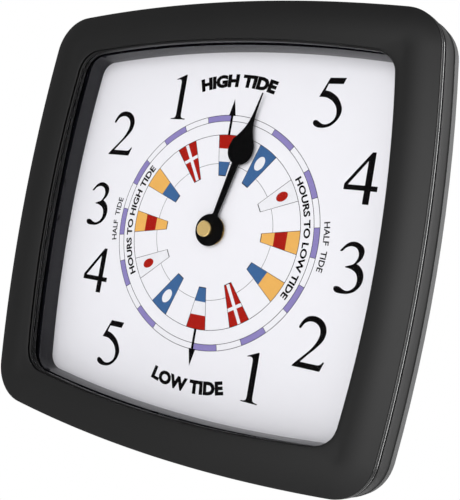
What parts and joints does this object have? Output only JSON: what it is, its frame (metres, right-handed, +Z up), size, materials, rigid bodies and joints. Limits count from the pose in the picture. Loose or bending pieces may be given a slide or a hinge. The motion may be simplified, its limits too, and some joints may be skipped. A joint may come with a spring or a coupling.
{
  "type": "tide clock",
  "caption": "Wall tide clock in a bowed square moulded case: a lens-covered dial with one hand that a battery movement turns once per tide cycle.",
  "frame": {"origin": "centre of the keyhole's round entry in the rear face, on the wall plane", "axes": "+X to the viewer's right, +Y out of the back into the wall, +Z up; the dial faces -Y"},
  "size_m": [0.19, 0.0355, 0.1832],
  "materials": {
    "case_black": "satin moulded black",
    "back_black": "fine spark-eroded black",
    "spacer_gloss": "glossy moulded black",
    "seal_rubber": "matt black",
    "lens_clear": "clear polished",
    "dial_white": "printed semi-matt white",
    "screw_steel": "zinc plated",
    "movement_black": "moulded black",
    "turned_brass": "turned",
    "polished_brass": "polished",
    "hand_black": "satin black paint",
    "gear_plastic": "natural acetal",
    "knob_grey": "moulded light grey",
    "spring_steel": "nickel plated strip",
    "magnet_grey": "sintered",
    "winding_copper": "enamelled copper wire",
    "board_green": "solder mask",
    "can_aluminium": "drawn",
    "chip_black": "potting resin",
    "battery_jacket": "plain coloured jacket"
  },
  "bodies": {
    "case": {"front_bezel": "case_black", "lens_gasket": "seal_rubber", "lens": "lens_clear", "spacer_frame": "spacer_gloss", "dial": "dial_white", "case_seal": "seal_rubber", "back_case": "back_black", "case_screws": "screw_steel", "movement_front_case": "movement_black", "movement_rear_cover": "movement_black", "movement_cushion": "seal_rubber", "threaded_bush": "turned_brass", "brass_washer": "turned_brass", "hex_nut": "turned_brass", "stator_plate": "spring_steel", "coil_core": "spring_steel", "coil_bobbin": "gear_plastic", "coil_winding": "winding_copper", "stator_screws": "screw_steel", "circuit_board": "board_green", "quartz_crystal": "can_aluminium", "timing_chip": "chip_black", "positive_contact": "spring_steel", "negative_contact": "spring_steel"},
    "hand_arbor": {"tide_arbor": "turned_brass", "tide_hand": "hand_black", "hand_cap_nut": "polished_brass", "setting_pinion": "gear_plastic", "clutch_spring": "spring_steel"},
    "knob": {"setting_knob": "knob_grey"},
    "tide_wheel": {"tide_wheel": "gear_plastic"},
    "third_wheel": {"third_wheel": "gear_plastic"},
    "second_wheel": {"second_wheel": "gear_plastic"},
    "first_wheel": {"first_wheel": "gear_plastic"},
    "rotor": {"rotor": "gear_plastic", "rotor_magnet": "magnet_grey"},
    "battery": {"battery": "battery_jacket"}
  },
  "joints": [
    {"name": "hand_turn", "type": "hinge", "parent": "case", "child": "hand_arbor", "pos_m": [0, -0.018, -0.052], "axis": [0, 1, 0], "continuous": true},
    {"name": "knob_turn", "type": "hinge", "parent": "case", "child": "knob", "pos_m": [0.00866, -0.0028, -0.057], "axis": [0, 1, 0], "continuous": true},
    {"name": "second_wheel_turn", "type": "hinge", "parent": "case", "child": "second_wheel", "pos_m": [0.00597, -0.01, -0.03791], "axis": [0, 1, 0], "continuous": true},
    {"name": "third_wheel_turn", "type": "hinge", "parent": "case", "child": "third_wheel", "pos_m": [0.00885, -0.01, -0.04581], "axis": [0, 1, 0], "continuous": true},
    {"name": "tide_wheel_turn", "type": "hinge", "parent": "case", "child": "tide_wheel", "pos_m": [0, -0.014, -0.052], "axis": [0, 1, 0], "continuous": true},
    {"name": "first_wheel_turn", "type": "hinge", "parent": "case", "child": "first_wheel", "pos_m": [-0.00239, -0.01, -0.03864], "axis": [0, 1, 0], "continuous": true},
    {"name": "rotor_turn", "type": "hinge", "parent": "case", "child": "rotor", "pos_m": [-0.01029, -0.01, -0.04152], "axis": [0, 1, 0], "continuous": true},
    {"name": "battery_slide", "type": "slide", "parent": "case", "child": "battery", "axis": [0, 1, 0], "range_m": [0, 0.018]}
  ],
  "couplings": [
    {"joint": "knob_turn", "follows": "hand_turn", "ratio": -1.5},
    {"joint": "third_wheel_turn", "follows": "second_wheel_turn", "ratio": -0.16667},
    {"joint": "tide_wheel_turn", "follows": "second_wheel_turn", "ratio": 0.020833},
    {"joint": "first_wheel_turn", "follows": "second_wheel_turn", "ratio": -6},
    {"joint": "rotor_turn", "follows": "second_wheel_turn", "ratio": 36}
  ]
}
